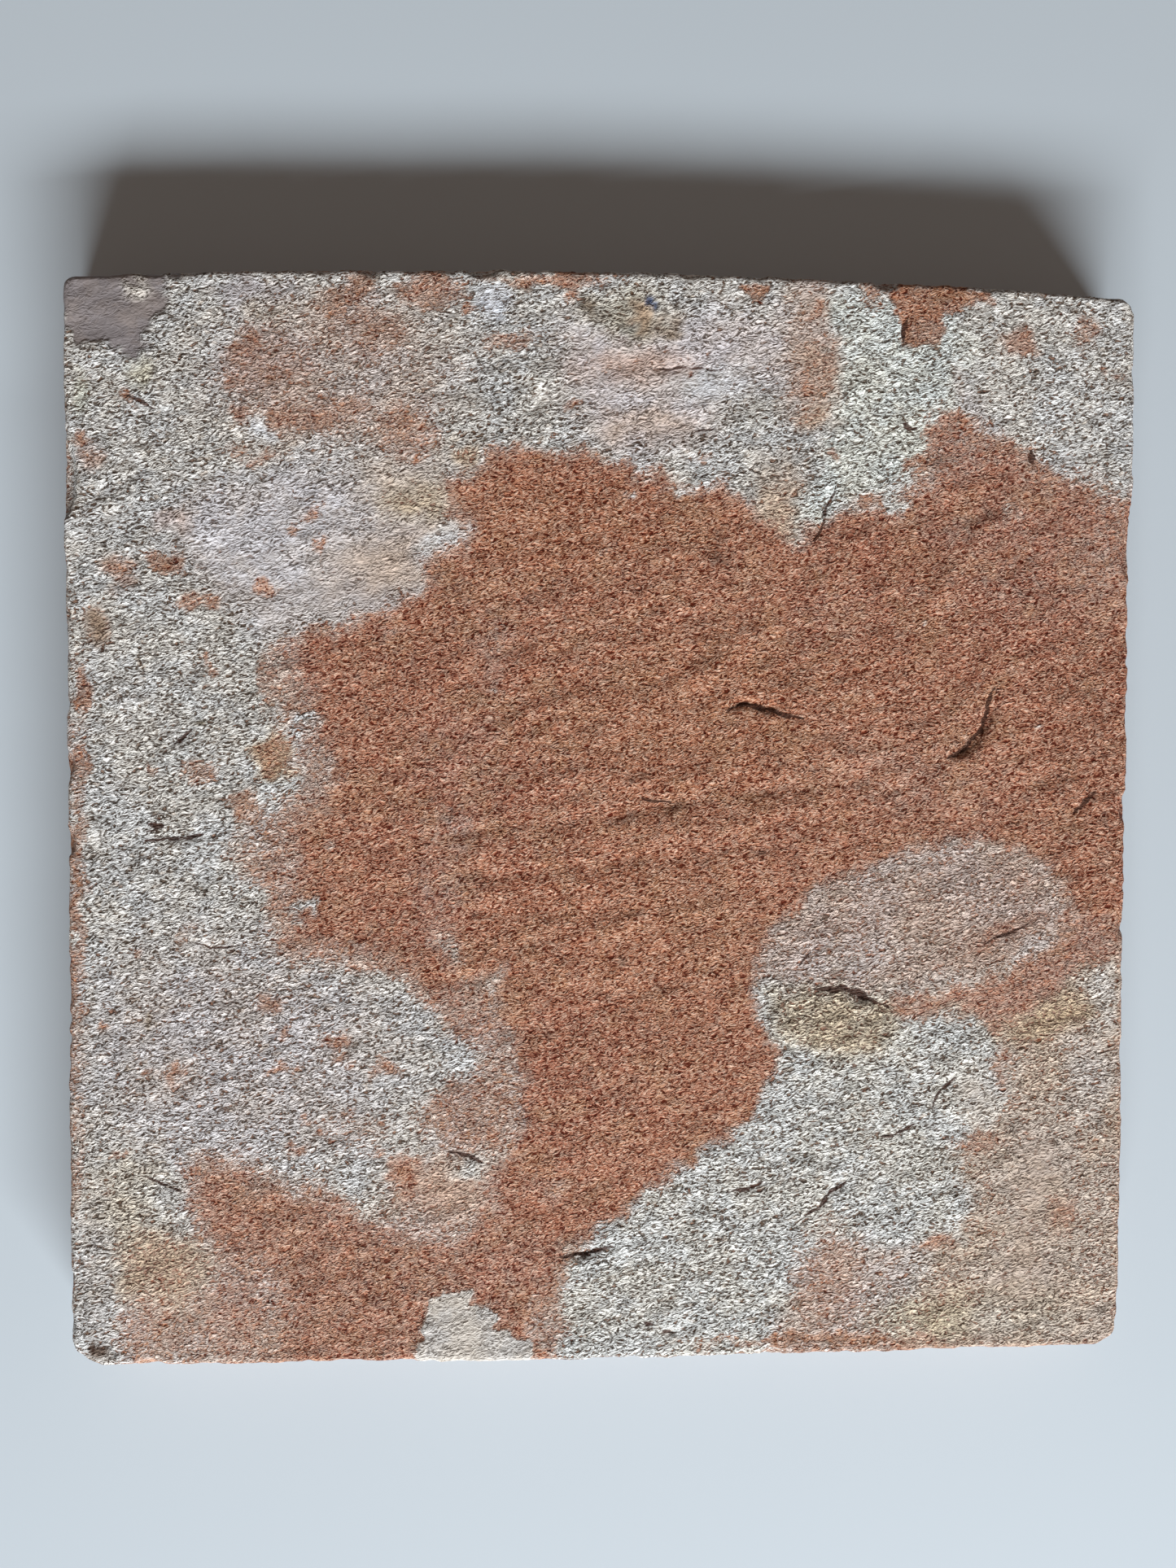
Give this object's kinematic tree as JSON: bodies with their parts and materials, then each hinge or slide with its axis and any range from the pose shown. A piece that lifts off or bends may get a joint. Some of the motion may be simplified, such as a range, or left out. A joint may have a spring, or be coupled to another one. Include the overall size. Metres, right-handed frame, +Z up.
{
  "type": "delft tile",
  "caption": "Square tin-glazed earthenware wall tile with undercut edges, lying face down, its bare clay back still carrying remains of lime mortar.",
  "frame": {"origin": "middle of the glazed face, on the surface that the tile lies on", "axes": "+X to the right and +Y to the rear as the back is seen from above, +Z up from the glazed face to the back"},
  "size_m": [0.1298, 0.1332, 0.01],
  "materials": {
    "fired_clay": "rough unglazed terracotta with pale lime mortar on the back, white tin glaze on the face"
  },
  "bodies": {
    "root": {"tile": "fired_clay"}
  },
  "joints": []
}
